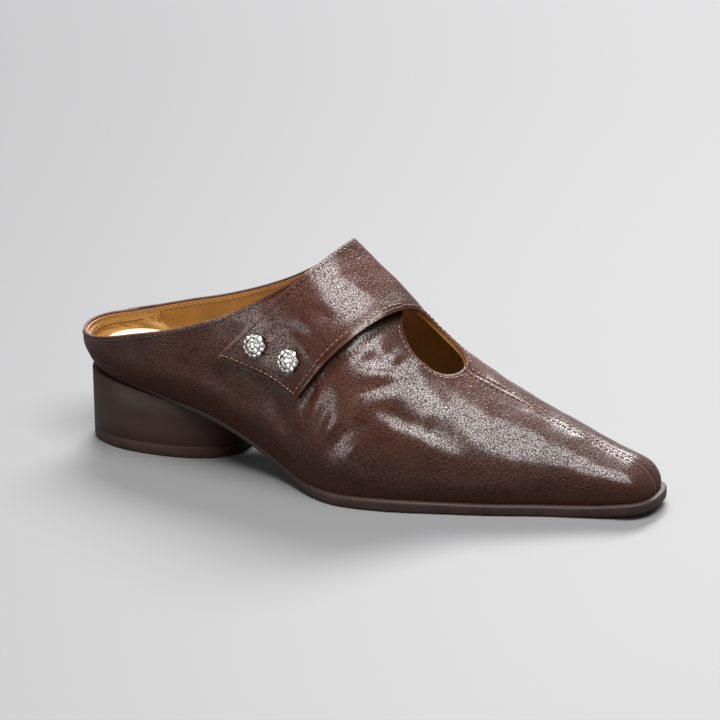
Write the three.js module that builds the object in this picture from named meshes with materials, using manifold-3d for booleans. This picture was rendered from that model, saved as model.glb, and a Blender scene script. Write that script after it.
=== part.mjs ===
// A right mule with a soft square toe: block heel, outsole, insole, hollow upper with a keyhole, strap and studs.
// Millimetres. +X runs from heel to toe, +Y to the inner (big toe) side, +Z up, and the sole stands on z = 0.
import * as THREE from 'three';
import { mergeVertices } from 'three/addons/utils/BufferGeometryUtils.js';
import Module from 'manifold-3d';

const wasm = await Module();
wasm.setup();

// Driving sizes.
const lastLength = 265;     // back of the heel to the tip of the upper
const ballWidth = 84.8;     // widest place of the upper, across the ball of the foot
const heelHeight = 34;      // floor to the seat at the back
const instepHeight = 101;   // floor to the peak of the shoe
const peakAt = 127.5;       // distance of that peak from the back
const wall = 2.2;           // outer leather and lining together
const strapThickness = 2.0;
const gap = 0.3;            // between neighbouring pieces
const outsoleThickness = 4.8;
const ledge = 2.5;          // how far the outsole stands out past the upper at the forefoot
const insoleThickness = 2.4;
const topLift = 5.5;        // height of the heel's wearing piece

// The last, one row for each section across it, measured from the heel's own middle line.
//   at        distance from the back, in hundredths of the length
//   seat      height of the edge where upper meets sole, in hundredths of the heel height
//   soleOuter that edge on the outer side, soleInner on the inner side, in hundredths of the ball width
//   outer     widest place on the outer side, inner on the inner side, likewise
//   bulge     its height above the seat, ridge the height of the top line, in hundredths of the instep height
//   lean      how far the top line lies to the inner side, in hundredths of the ball width
//   crown     exponent of the arch above the widest place: 2 is an ellipse, more is boxier
const columns = ['at', 'seat', 'soleOuter', 'soleInner', 'outer', 'inner', 'bulge', 'ridge', 'lean', 'crown'];
const shares = [
  [0,    100,  25.9, 25.4, 32.4, 31.8, 12.9, 116.8, 0,   2.8],
  [7.5,  96.8, 28.3, 27.7, 34.2, 33,   12.9, 118.8, 1.2, 2.7],
  [18.5, 83.2, 30.1, 27.7, 36.6, 34.8, 14.9, 120.8, 3.5, 2.5],
  [29.1, 65.6, 32.4, 26.5, 38.3, 35.4, 17.8, 117.8, 5.9, 2.3],
  [38.5, 36.2, 36.6, 27.1, 40.7, 36.6, 18.8, 109.9, 6.5, 2.1],
  [43.8, 19.4, 42.5, 29.5, 44.2, 38.9, 16.8, 103,   6.5, 2],
  [48.3, 14.4, 49.5, 33,   50.7, 41.9, 13.9, 94.1,  6.5, 1.9],
  [54,   14.1, 54.2, 37.7, 55.2, 44.8, 10.9, 82.2,  6.5, 1.8],
  [61.5, 14.7, 51.3, 42.5, 52.5, 46.6, 9.4,  64.9,  5.9, 1.8],
  [69.4, 14.1, 43.6, 43.6, 45.2, 46,   8.4,  49.7,  5.7, 1.85],
  [77,   13.5, 35.4, 39.5, 36.9, 41.3, 7.9,  39.6,  5.3, 1.95],
  [84.5, 13.5, 25.9, 32.4, 27.2, 33.6, 6.9,  31.3,  5.1, 2.1],
  [92.1, 15.3, 18.3, 25.4, 19.2, 26.2, 5.4,  23.7,  5,   2.3],
  [100,  21.8, 11.2, 20.3, 11.8, 20.9, 4,    17.4,  4.7, 2.5],
];
const whole = {
  at: lastLength, seat: heelHeight, bulge: instepHeight, ridge: instepHeight, crown: 100,
  soleOuter: ballWidth, soleInner: ballWidth, outer: ballWidth, inner: ballWidth, lean: ballWidth,
};
const last = shares.map((row) => Object.fromEntries(
  columns.map((name, i) => [name, row[i] * whole[name] / 100]),
));
const heelRound = { length: 34, power: 2.1 };   // how the plan closes round the heel
const toeRound = { length: 9, power: 2.6 };    // how it closes across the toe
const toeWall = { length: 11, power: 2.1 };      // how the top line drops to the toe

// The cut line of the collar, seen from the side.
const collar = [
  { at: -8, height: 50 }, { at: 8, height: 50 }, { at: 20, height: 51.9 }, { at: 33, height: 55 },
  { at: 61, height: 62.6 }, { at: 87, height: 73 }, { at: 107, height: 84.8 }, { at: 117, height: 92 },
  { at: peakAt, height: instepHeight },
];

// A smooth curve through one column of a table that never overshoots a row.
function curveOf(rows, key) {
  const xs = rows.map((row) => row.at);
  const ys = rows.map((row) => row[key]);
  const steps = xs.slice(1).map((x, i) => (ys[i + 1] - ys[i]) / (x - xs[i]));
  const slopes = xs.map((x, i) => {
    if (i === 0) return steps[0];
    if (i === xs.length - 1) return steps[i - 1];
    const before = xs[i] - xs[i - 1];
    const after = xs[i + 1] - xs[i];
    if (steps[i - 1] * steps[i] <= 0) return 0;
    const mean = (steps[i - 1] * after + steps[i] * before) / (before + after);
    const most = 2 * Math.min(Math.abs(steps[i - 1]), Math.abs(steps[i]));
    return Math.sign(mean) * Math.min(Math.abs(mean), most);
  });
  return (x) => {
    const clamped = Math.min(Math.max(x, xs[0]), xs[xs.length - 1]);
    let i = 0;
    while (i < xs.length - 2 && clamped > xs[i + 1]) i += 1;
    const span = xs[i + 1] - xs[i];
    const t = (clamped - xs[i]) / span;
    const bend = t * (1 - t) * span;
    return ys[i] + (ys[i + 1] - ys[i]) * t * t * (3 - 2 * t)
      + bend * (slopes[i] * (1 - t) - slopes[i + 1] * t);
  };
}

const lastAt = Object.fromEntries(Object.keys(last[0]).map((key) => [key, curveOf(last, key)]));
const collarHeight = curveOf(collar, 'height');

// 0 at the closed end, 1 once past the rounded stretch.
const closing = (distance, round) => (distance >= round.length ? 1
  : Math.max(0, 1 - (1 - distance / round.length) ** round.power) ** (1 / round.power));

// The last's section at a distance from the back.
function sectionAt(x) {
  const plan = closing(x, heelRound) * closing(lastLength - x, toeRound);
  const drop = closing(lastLength - x, toeWall);
  const seat = lastAt.seat(x);
  const halves = (outer, inner) => ({ middle: (inner - outer) / 2, half: plan * (inner + outer) / 2 });
  return {
    seat,
    bulge: seat + lastAt.bulge(x) * drop,
    ridge: seat + (lastAt.ridge(x) - seat) * drop,
    sole: halves(lastAt.soleOuter(x), lastAt.soleInner(x)),
    widest: halves(lastAt.outer(x), lastAt.inner(x)),
    lean: lastAt.lean(x),
    crown: lastAt.crown(x),
  };
}

const tuckPower = 2.2;      // how suddenly the wall turns under towards the seat
const heelTuck = 5;         // how far the very back turns under
const heelFade = 45;        // distance over which that dies away

// A point of the last. level runs from -1 at the seat, through 0 at the widest level, to 1 at the ridge.
function lastPoint(x, side, level) {
  const { seat, bulge, ridge, sole, widest, lean, crown } = sectionAt(x);
  const wide = widest.middle + side * widest.half;
  if (level <= 0) {
    const under = (-level) ** tuckPower;
    const back = heelTuck * Math.max(0, 1 - x / heelFade) ** 2;
    const narrow = sole.middle + side * sole.half;
    const y = wide + (narrow - wide) * under;
    return new THREE.Vector3(x + back * under, y, bulge + level * (bulge - seat));
  }
  const turn = level * Math.PI / 2;
  const power = 2 / crown;
  const up = Math.sin(turn) ** power;
  const across = Math.cos(turn) ** power;
  return new THREE.Vector3(x, lean + (widest.middle - lean) * across + side * widest.half * across,
    bulge + (ridge - bulge) * up);
}

// The outer side's level at a height.
function levelAtHeight(x, height) {
  const section = sectionAt(x);
  if (height <= section.bulge) return (height - section.bulge) / (section.bulge - section.seat);
  const rise = Math.min(1, (height - section.bulge) / (section.ridge - section.bulge));
  return Math.asin(rise ** (section.crown / 2)) / (Math.PI / 2);
}

// A closed mesh from rings of points, each ring closed and the first and last capped or run to a point.
function loft(rings) {
  const count = rings[0].length;
  const at = (i, j) => rings[i][j % count];
  const faces = [];
  for (let i = 0; i < rings.length - 1; i += 1) {
    for (let j = 0; j < count; j += 1) {
      faces.push([at(i, j), at(i, j + 1), at(i + 1, j + 1)], [at(i, j), at(i + 1, j + 1), at(i + 1, j)]);
    }
  }
  const cap = (ring, flip) => {
    const middle = ring.reduce((sum, p) => sum.add(p), new THREE.Vector3()).divideScalar(count);
    ring.forEach((p, j) => {
      const next = ring[(j + 1) % count];
      faces.push(flip ? [middle, next, p] : [middle, p, next]);
    });
  };
  cap(rings[0], true);
  cap(rings[rings.length - 1], false);
  return new THREE.BufferGeometry().setFromPoints(faces.flat());
}

// The same mesh with shared vertices merged and collapsed triangles dropped.
function merged(geometry) {
  const bare = geometry.index ? geometry.toNonIndexed() : geometry.clone();
  bare.deleteAttribute('normal');
  bare.deleteAttribute('uv');
  const joined = mergeVertices(bare, 1e-3);
  const kept = [];
  const index = joined.index.array;
  for (let i = 0; i < index.length; i += 3) {
    const [a, b, c] = index.slice(i, i + 3);
    if (a !== b && b !== c && c !== a) kept.push(a, b, c);
  }
  joined.setIndex(kept);
  return joined;
}

// three.js geometry to a solid that can be cut and joined, and back.
function solid(geometry) {
  const joined = merged(geometry);
  return new wasm.Manifold(new wasm.Mesh({
    numProp: 3,
    vertProperties: new Float32Array(joined.attributes.position.array),
    triVerts: new Uint32Array(joined.index.array),
  }));
}

function geometryOf(made) {
  const mesh = made.getMesh();
  return new THREE.BufferGeometry()
    .setAttribute('position', new THREE.BufferAttribute(new Float32Array(mesh.vertProperties), 3))
    .setIndex(new THREE.BufferAttribute(new Uint32Array(mesh.triVerts), 1));
}

// Stations along the last, closer together at the rounded ends.
const stations = 50;
const ease = 0.85;          // 1 bunches the stations fully at the ends, 0 spaces them evenly
const stationAt = (i) => {
  const t = i / (stations - 1);
  return lastLength * (ease * (1 - Math.cos(Math.PI * t)) / 2 + (1 - ease) * t);
};

// The last as a closed form, carried on a little below its seat so that it can be cut off along the sole.
const skirt = 6;
const lowerLevels = [-1.3, -0.85, -0.4, 0];
const archLevels = [0.14, 0.28, 0.42, 0.55, 0.67, 0.78, 0.88, 0.95];
const bareForm = merged(loft(Array.from({ length: stations }, (_, i) => {
  const x = stationAt(i);
  const levels = [...lowerLevels, ...archLevels];
  const inner = levels.map((level) => lastPoint(x, 1, level));
  const outer = levels.map((level) => lastPoint(x, -1, level)).reverse();
  const below = (p) => p.clone().setZ(p.z - skirt);
  return [below(inner[0]), ...inner, lastPoint(x, 1, 1), ...outer, below(outer[outer.length - 1])];
})));
bareForm.computeVertexNormals();

// That form grown or shrunk along its surface normals, by an offset that may vary over it.
function form(offset) {
  const offsetAt = typeof offset === 'function' ? offset : () => offset;
  const grown = bareForm.clone();
  const position = grown.attributes.position;
  for (let i = 0; i < position.count; i += 1) {
    const point = new THREE.Vector3().fromBufferAttribute(position, i);
    const outward = new THREE.Vector3().fromBufferAttribute(bareForm.attributes.normal, i);
    point.addScaledVector(outward, offsetAt(point));
    position.setXYZ(i, point.x, point.y, point.z);
  }
  return solid(grown);
}

// A prism across the shoe with the given side view, from one side to the other.
const halfSpan = 90;
function acrossPrism(points, from = -halfSpan, to = halfSpan) {
  const shape = new THREE.Shape(points.map(([x, z]) => new THREE.Vector2(x, z)));
  const geometry = new THREE.ExtrudeGeometry(shape, { depth: to - from, bevelEnabled: false });
  return solid(geometry.rotateX(Math.PI / 2).translate(0, to, 0));
}

// A prism standing on the given plan outline.
function uprightPrism(points, from = -5, to = 130) {
  const shape = new THREE.Shape(points);
  const geometry = new THREE.ExtrudeGeometry(shape, { depth: to - from, bevelEnabled: false });
  return solid(geometry.translate(0, 0, from));
}

const evenly = (from, to, count) => Array.from(
  { length: count },
  (_, i) => THREE.MathUtils.lerp(from, to, i / (count - 1)),
);

const beyond = 20;          // how far cutters run past the ends of the shoe
const overhead = 200;       // and up past its peak

// Plan outline of the edge where upper meets sole, moved outwards by a distance that may vary along the shoe.
function planOutline(outward) {
  const side = (sign) => Array.from({ length: stations }, (_, i) => lastPoint(stationAt(i), sign, -1));
  const loop = [...side(-1), ...side(1).reverse().slice(1, -1)].map((p) => new THREE.Vector2(p.x, p.y));
  return loop.map((p, i) => {
    const before = loop[(i + loop.length - 1) % loop.length];
    const after = loop[(i + 1) % loop.length];
    const along = after.clone().sub(before).normalize();
    return p.clone().add(new THREE.Vector2(along.y, -along.x).multiplyScalar(outward(p.x)));
  });
}

const smooth = (x, from, to) => THREE.MathUtils.smoothstep(x, from, to);

// Outsole: full thickness and a ledge under the forefoot, thin and flush through the waist and over the heel.
const treadFrom = 138;
const treadTo = 232;
const toeSpring = 3;
const waistThickness = 2.8;
const heelSeatThickness = 1.2;
const soleTop = (x) => lastAt.seat(x);
function soleBottom(x) {
  if (x >= treadFrom) return toeSpring * Math.max(0, (x - treadTo) / (lastLength + ledge - treadTo)) ** 1.6;
  const thin = heelSeatThickness + (waistThickness - heelSeatThickness) * smooth(x, 30, 80);
  return Math.max(0, soleTop(x) - (thin + (outsoleThickness - thin) * smooth(x, 108, treadFrom)));
}
const soleOutward = (x) => -1.2 + 1.2 * smooth(x, 20, 60) + ledge * smooth(x, 105, 150);

function makeOutsole() {
  const xs = evenly(-beyond, lastLength + beyond, 90);
  const profile = [
    ...xs.map((x) => [x, soleBottom(x)]),
    ...xs.reverse().map((x) => [x, soleTop(x)]),
  ];
  return acrossPrism(profile).intersect(uprightPrism(planOutline(soleOutward)));
}

// Everything above the line where the upper is cut off, just clear of the outsole.
const aboveSole = () => acrossPrism([
  ...evenly(-beyond, lastLength + beyond, 90).map((x) => [x, soleTop(x) + gap]),
  [lastLength + beyond, overhead], [-beyond, overhead],
]);

// Heel: an oval column, round at the back and squarer at the front, in a block and a wearing piece.
const heel = {
  back: 3.6, front: 77.3, outer: 26, inner: 25.5,   // its plan just under the seat
  widestAt: 37.6, backPower: 2.15, frontPower: 2.5,
  flare: 1.3,               // how much further forward the front stands at the floor
  taper: 0.015,             // share of the width lost at the floor
};
const heelTurns = 48;
function heelOutline(z, shrink = 1) {
  const down = 1 - z / heelHeight;
  return Array.from({ length: heelTurns }, (_, i) => {
    const angle = 2 * Math.PI * i / heelTurns;
    const along = Math.cos(angle);
    const across = Math.sin(angle);
    const power = 2 / (along > 0 ? heel.frontPower : heel.backPower);
    const reach = along > 0 ? heel.front + heel.flare * down - heel.widestAt : heel.widestAt - heel.back;
    const half = (across < 0 ? heel.outer : heel.inner) * (1 - heel.taper * down);
    return new THREE.Vector3(
      heel.widestAt + shrink * reach * Math.sign(along) * Math.abs(along) ** power,
      shrink * half * Math.sign(across) * Math.abs(across) ** power,
      z,
    );
  });
}
const heelColumn = (from, to, shrink) => solid(loft([heelOutline(from, shrink), heelOutline(to, shrink)]));
function makeHeelBlock() {
  const profile = [
    [-beyond, topLift + gap], [heel.front + beyond, topLift + gap],
    ...evenly(heel.front + beyond, -beyond, 40).map((x) => [x, soleBottom(x) - gap]),
  ];
  return heelColumn(topLift, heelHeight + beyond, 1).intersect(acrossPrism(profile));
}
const makeTopLift = () => heelColumn(0, topLift, 0.992);

// Insole: a thin sock lying on the outsole inside the upper.
function makeInsole() {
  const xs = evenly(-beyond, lastLength + beyond, 60);
  const profile = [
    ...xs.map((x) => [x, soleTop(x) + gap]),
    ...xs.reverse().map((x) => [x, soleTop(x) + gap + insoleThickness]),
  ];
  return acrossPrism(profile).intersect(form(-(wall + gap)));
}

// Keyhole: a teardrop seen from above, pointed where the strap crosses it, closed in front by the centre seam.
const keyhole = { back: 153.5, front: 180.3, outer: -15.9, inner: 12, middle: -1.5 };
function keyholeCutter() {
  const { back, front, outer, inner, middle } = keyhole;
  const widest = back + (front - back) * 0.52;
  const shape = new THREE.Shape();
  shape.moveTo(back, middle);
  shape.bezierCurveTo(back + 1, outer * 0.75, widest - 8, outer, widest, outer);
  shape.bezierCurveTo(widest + 8, outer, front, middle - 8, front, middle + 1);
  shape.bezierCurveTo(front, middle + 8, widest + 8, inner, widest, inner);
  shape.bezierCurveTo(widest - 6, inner, back + 3, middle + 6, back, middle);
  const cutter = new THREE.ExtrudeGeometry(shape, { depth: 80, bevelEnabled: false, curveSegments: 9 });
  return solid(cutter.translate(0, 0, 30));
}

// Everything above the collar line, as far forward as the peak.
const aboveCollar = (from) => acrossPrism([
  ...evenly(-beyond, peakAt, 40).map((x) => [x, collarHeight(x)]), [peakAt, overhead], [-beyond, overhead],
], from);

function makeUpper() {
  return form(0)
    .subtract(form(-wall))
    .intersect(aboveSole())
    .subtract(aboveCollar())
    .subtract(keyholeCutter());
}

// Crossover strap: lies on the outer side, runs over the ridge behind the keyhole, thins out on the inner side.
const strapSide = [         // side view on the outer side: collar edge, two low corners, front edge
  [peakAt + 1, instepHeight + 2], [80.7, 52.8], [119, 41.4], [124.5, 48.5], [130.5, 56.2], [137.5, 64.5],
  [144, 71], [149.5, 75], [156, 77.5], [160, overhead], [peakAt + 1, overhead],
];
// On the inner side it ends along a line that falls towards the toe.
const strapFoot = { back: 112, front: 178, high: 84, low: 42, fade: 14, thinnest: 0.25 };
const footHeight = (x) => {
  const { back, front, high, low } = strapFoot;
  return THREE.MathUtils.mapLinear(x, back, front, high, low);
};
function strapOffset({ x, y, z }) {
  const inside = smooth(y, 0, 8);
  const thinned = 1 - smooth(z - footHeight(x), 0, strapFoot.fade);
  return gap + strapThickness * (1 - (1 - strapFoot.thinnest) * inside * thinned);
}
function makeStrap() {
  const { back, front, high, low } = strapFoot;
  const middle = lastAt.lean(peakAt) + 1;   // just past the top line
  const outerPart = acrossPrism(strapSide, -halfSpan, middle);
  const innerPart = acrossPrism([[back, high], [front, low], [front, overhead], [back, overhead]], middle);
  return form(strapOffset)
    .subtract(form(gap))
    .intersect(outerPart.add(innerPart))
    .subtract(aboveCollar(0))
    .subtract(keyholeCutter());
}

// Studs: a low round dome of petals on a short collar, set square on the strap.
const stud = { radius: 4.8, height: 3.4, petals: 6 };
const studPlaces = { stud_front: { x: 116.5, z: 56 }, stud_rear: { x: 99.6, z: 60.3 } };
function makeStud() {
  const petals = new THREE.Shape(Array.from({ length: 36 }, (_, i) => {
    const angle = 2 * Math.PI * i / 36;
    const radius = stud.radius * (0.9 + 0.1 * Math.cos(stud.petals * angle));
    return new THREE.Vector2(radius * Math.cos(angle), radius * Math.sin(angle));
  }));
  const flower = new THREE.ExtrudeGeometry(petals, { depth: stud.height, bevelEnabled: false });
  const dome = new THREE.SphereGeometry(stud.radius * 1.25, 24, 16).scale(1, 1, 0.62);
  return solid(flower).intersect(solid(dome));
}
function studFrame({ x, z }) {
  const on = (dx, dz) => lastPoint(x + dx, -1, levelAtHeight(x + dx, z + dz));
  const place = on(0, 0);
  const outward = on(1, 0).sub(on(-1, 0)).cross(on(0, 1).sub(on(0, -1))).normalize();
  place.addScaledVector(outward, strapThickness + 2 * gap + 0.5);
  return { place, outward };
}

const materials = {
  leather: new THREE.MeshStandardMaterial({ color: 0x5a2e24, roughness: 0.42, metalness: 0 }),
  sole: new THREE.MeshStandardMaterial({ color: 0x46332c, roughness: 0.55, metalness: 0 }),
  heel: new THREE.MeshStandardMaterial({ color: 0x3d2a26, roughness: 0.5, metalness: 0 }),
  sock: new THREE.MeshStandardMaterial({ color: 0xdcc09a, roughness: 0.7, metalness: 0 }),
  stud: new THREE.MeshStandardMaterial({ color: 0xd9d9d6, roughness: 0.2, metalness: 1 }),
};

const shoe = new THREE.Group();
function add(name, made, material) {
  const mesh = new THREE.Mesh(geometryOf(made), material);
  mesh.name = name;
  shoe.add(mesh);
  return mesh;
}

add('outsole', makeOutsole(), materials.sole);
add('heel_block', makeHeelBlock(), materials.heel);
add('heel_top_lift', makeTopLift(), materials.heel);
add('insole', makeInsole(), materials.sock);
add('upper', makeUpper(), materials.leather);
add('strap', makeStrap(), materials.leather);
Object.entries(studPlaces).forEach(([name, where]) => {
  const { place, outward } = studFrame(where);
  const mesh = add(name, makeStud(), materials.stud);
  mesh.position.copy(place);
  mesh.quaternion.setFromUnitVectors(new THREE.Vector3(0, 0, 1), outward);
});

// The origin is under the middle of the whole shoe.
const box = new THREE.Box3().setFromObject(shoe);
const middle = box.getCenter(new THREE.Vector3());
shoe.position.set(-middle.x, -middle.y, -box.min.z);

const part = new THREE.Group();
part.add(shoe);
export default part;
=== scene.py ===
import math

import bmesh
import bpy
from mathutils import Matrix, Vector, noise
from mathutils.geometry import intersect_point_line
from mathutils.bvhtree import BVHTree
from mathutils.kdtree import KDTree


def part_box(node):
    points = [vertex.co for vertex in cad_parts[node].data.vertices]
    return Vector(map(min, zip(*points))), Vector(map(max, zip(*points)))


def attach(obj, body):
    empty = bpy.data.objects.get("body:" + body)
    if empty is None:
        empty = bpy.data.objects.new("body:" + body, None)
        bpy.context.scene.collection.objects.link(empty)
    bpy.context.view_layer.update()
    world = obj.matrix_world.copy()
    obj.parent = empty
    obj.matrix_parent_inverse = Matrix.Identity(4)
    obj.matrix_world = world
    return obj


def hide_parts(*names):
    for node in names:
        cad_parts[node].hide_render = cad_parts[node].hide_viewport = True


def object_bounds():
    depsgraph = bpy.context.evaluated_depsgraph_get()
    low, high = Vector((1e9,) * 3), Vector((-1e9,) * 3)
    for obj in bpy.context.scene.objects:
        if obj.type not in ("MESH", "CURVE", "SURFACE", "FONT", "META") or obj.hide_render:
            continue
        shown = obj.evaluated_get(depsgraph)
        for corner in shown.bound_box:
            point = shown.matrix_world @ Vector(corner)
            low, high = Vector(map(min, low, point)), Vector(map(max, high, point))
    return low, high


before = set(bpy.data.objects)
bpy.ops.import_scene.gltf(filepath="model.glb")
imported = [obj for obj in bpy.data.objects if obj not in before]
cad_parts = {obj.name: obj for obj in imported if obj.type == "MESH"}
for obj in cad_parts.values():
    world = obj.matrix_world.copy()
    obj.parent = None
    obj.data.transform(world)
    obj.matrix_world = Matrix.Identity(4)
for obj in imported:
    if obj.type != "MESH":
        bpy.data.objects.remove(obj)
cadLow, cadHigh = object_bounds()
print("frame loaded")

# Everything on the last is worked out in millimetres from the back of the heel, then carried
# into the frame.
shoe = {
    "length": 265.0, "ballWidth": 84.8, "instep": 101.0, "heelHeight": 34.0,
    "leather": 1.2, "lining": 0.9,
    "tuckPower": 2.2, "heelTuck": 5.0, "heelFade": 45.0,
    "heelHalf": 26.0,         # heel block's half width on the outer side
}
mm = 0.001
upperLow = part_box("upper")[0]
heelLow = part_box("heel_block")[0]
toFrame = Matrix.Translation((upperLow.x, heelLow.y + shoe["heelHalf"] * mm, 0)) @ Matrix.Scale(mm, 4)

# One row for each section of the last, in hundredths: at of the length, seat of the heel height,
# bulge and ridge of the instep, and the widths of the ball width. The crown is a plain number.
sectionNames = ("at", "seat", "soleOuter", "soleInner", "outer", "inner", "bulge", "ridge", "lean", "crown")
sectionShares = (
    (0, 100, 25.9, 25.4, 32.4, 31.8, 12.9, 116.8, 0, 2.8),
    (7.5, 96.8, 28.3, 27.7, 34.2, 33, 12.9, 118.8, 1.2, 2.7),
    (18.5, 83.2, 30.1, 27.7, 36.6, 34.8, 14.9, 120.8, 3.5, 2.5),
    (29.1, 65.6, 32.4, 26.5, 38.3, 35.4, 17.8, 117.8, 5.9, 2.3),
    (38.5, 36.2, 36.6, 27.1, 40.7, 36.6, 18.8, 109.9, 6.5, 2.1),
    (43.8, 19.4, 42.5, 29.5, 44.2, 38.9, 16.8, 103, 6.5, 2),
    (48.3, 14.4, 49.5, 33, 50.7, 41.9, 13.9, 94.1, 6.5, 1.9),
    (54, 14.1, 54.2, 37.7, 55.2, 44.8, 10.9, 82.2, 6.5, 1.8),
    (61.5, 14.7, 51.3, 42.5, 52.5, 46.6, 9.4, 64.9, 5.9, 1.8),
    (69.4, 14.1, 43.6, 43.6, 45.2, 46, 8.4, 49.7, 5.7, 1.85),
    (77, 13.5, 35.4, 39.5, 36.9, 41.3, 7.9, 39.6, 5.3, 1.95),
    (84.5, 13.5, 25.9, 32.4, 27.2, 33.6, 6.9, 31.3, 5.1, 2.1),
    (92.1, 15.3, 18.3, 25.4, 19.2, 26.2, 5.4, 23.7, 5, 2.3),
    (100, 21.8, 11.2, 20.3, 11.8, 20.9, 4, 17.4, 4.7, 2.5),
)
sectionUnits = {
    "at": shoe["length"], "seat": shoe["heelHeight"], "bulge": shoe["instep"], "ridge": shoe["instep"],
    "crown": 100.0,
}


def smooth(x, start, end):
    t = min(1.0, max(0.0, (x - start) / (end - start)))
    return t * t * (3 - 2 * t)


def mix(a, b, t):
    return a + (b - a) * t


def curveThrough(xs, ys):
    # a smooth curve through the points that never overshoots one
    steps = [(ys[i + 1] - ys[i]) / (xs[i + 1] - xs[i]) for i in range(len(xs) - 1)]
    slopes = [steps[0]]
    for i in range(1, len(xs) - 1):
        before, after = xs[i] - xs[i - 1], xs[i + 1] - xs[i]
        if steps[i - 1] * steps[i] <= 0:
            slopes.append(0.0)
            continue
        mean = (steps[i - 1] * after + steps[i] * before) / (before + after)
        most = 2 * min(abs(steps[i - 1]), abs(steps[i]))
        slopes.append(math.copysign(min(abs(mean), most), mean))
    slopes.append(steps[-1])

    def at(x):
        x = min(max(x, xs[0]), xs[-1])
        i = 0
        while i < len(xs) - 2 and x > xs[i + 1]:
            i += 1
        span = xs[i + 1] - xs[i]
        t = (x - xs[i]) / span
        bend = t * (1 - t) * span
        rise = (ys[i + 1] - ys[i]) * t * t * (3 - 2 * t)
        return ys[i] + rise + bend * (slopes[i] * (1 - t) - slopes[i + 1] * t)
    return at


def column(name):
    unit = sectionUnits.get(name, shoe["ballWidth"]) / 100
    i = sectionNames.index(name)
    return [row[i] * unit for row in sectionShares]


lastCurve = {name: curveThrough(column("at"), column(name)) for name in sectionNames}
heelRound = {"length": 34.0, "power": 2.1}
toeRound = {"length": 9.0, "power": 2.6}
toeWall = {"length": 11.0, "power": 2.1}
sectionsMade = {}


def closing(distance, end):
    if distance >= end["length"]:
        return 1.0
    share = 1 - (1 - max(0.0, distance) / end["length"]) ** end["power"]
    return max(0.0, share) ** (1 / end["power"])


def sectionAt(x):
    x = min(max(x, 0.0), shoe["length"])
    key = round(x, 4)
    if key in sectionsMade:
        return sectionsMade[key]
    value = {name: lastCurve[name](x) for name in sectionNames}
    plan = closing(x, heelRound) * closing(shoe["length"] - x, toeRound)
    drop = closing(shoe["length"] - x, toeWall)
    made = {
        "seat": value["seat"],
        "bulge": value["seat"] + value["bulge"] * drop,
        "ridge": value["seat"] + (value["ridge"] - value["seat"]) * drop,
        "soleMiddle": (value["soleInner"] - value["soleOuter"]) / 2,
        "soleHalf": plan * (value["soleInner"] + value["soleOuter"]) / 2,
        "middle": (value["inner"] - value["outer"]) / 2,
        "half": plan * (value["inner"] + value["outer"]) / 2,
        "lean": value["lean"],
        "crown": value["crown"],
    }
    sectionsMade[key] = made
    return made


# A place on the last: x from the back, girth from -2 at the outer seat over 0 on the top line
# to 2 at the inner seat.
def onLast(x, girth):
    cut = sectionAt(x)
    side = -1 if girth < 0 else 1
    level = 1 - abs(girth)
    wide = cut["middle"] + side * cut["half"]
    if level <= 0:
        under = (-level) ** shoe["tuckPower"]
        back = shoe["heelTuck"] * max(0.0, 1 - x / shoe["heelFade"]) ** 2
        narrow = cut["soleMiddle"] + side * cut["soleHalf"]
        height = cut["bulge"] + level * (cut["bulge"] - cut["seat"])
        return Vector((x + back * under, wide + (narrow - wide) * under, height))
    turn = level * math.pi / 2
    power = 2 / cut["crown"]
    up = math.sin(turn) ** power
    across = max(0.0, math.cos(turn)) ** power
    y = cut["lean"] + (wide - cut["lean"]) * across
    return Vector((x, y, cut["bulge"] + (cut["ridge"] - cut["bulge"]) * up))


def normalOnLast(x, girth):
    step, turn = 0.4, 0.01
    low, high = max(0.02, x - step), min(shoe["length"] - 0.02, x + step)
    along = onLast(high, girth) - onLast(low, girth)
    around = onLast(x, min(1.99, girth + turn)) - onLast(x, max(-1.99, girth - turn))
    return along.cross(around).normalized()


def girthAtHeight(x, height, side):
    cut = sectionAt(x)
    if height <= cut["bulge"]:
        level = (height - cut["bulge"]) / max(1e-6, cut["bulge"] - cut["seat"])
    else:
        rise = min(1.0, (height - cut["bulge"]) / (cut["ridge"] - cut["bulge"]))
        level = math.asin(rise ** (cut["crown"] / 2)) * 2 / math.pi
    return side * (1 - max(-1.0, level))


def girthAtY(x, y):
    cut = sectionAt(x)
    side = -1 if y < cut["lean"] else 1
    reach = cut["middle"] + side * cut["half"] - cut["lean"]
    across = min(1.0, max(0.0, (y - cut["lean"]) / reach))
    level = math.acos(across ** (cut["crown"] / 2)) * 2 / math.pi
    return side * (1 - level)


# Where the leather is cut: the collar, the keyhole and the centre seam, and the strap's two long edges.
collar = {
    "at": (-8, 8, 20, 33, 61, 87, 107, 117, 127.5),
    "height": (50, 50, 51.9, 55, 62.6, 73, 84.8, 92, 101),
}
collarHeight = curveThrough(collar["at"], collar["height"])


def crossing(low, high, stillBefore):
    # where stillBefore(x) stops being true, by halving the range
    for _ in range(30):
        x = (low + high) / 2
        if stillBefore(x):
            low = x
        else:
            high = x
    return low


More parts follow.
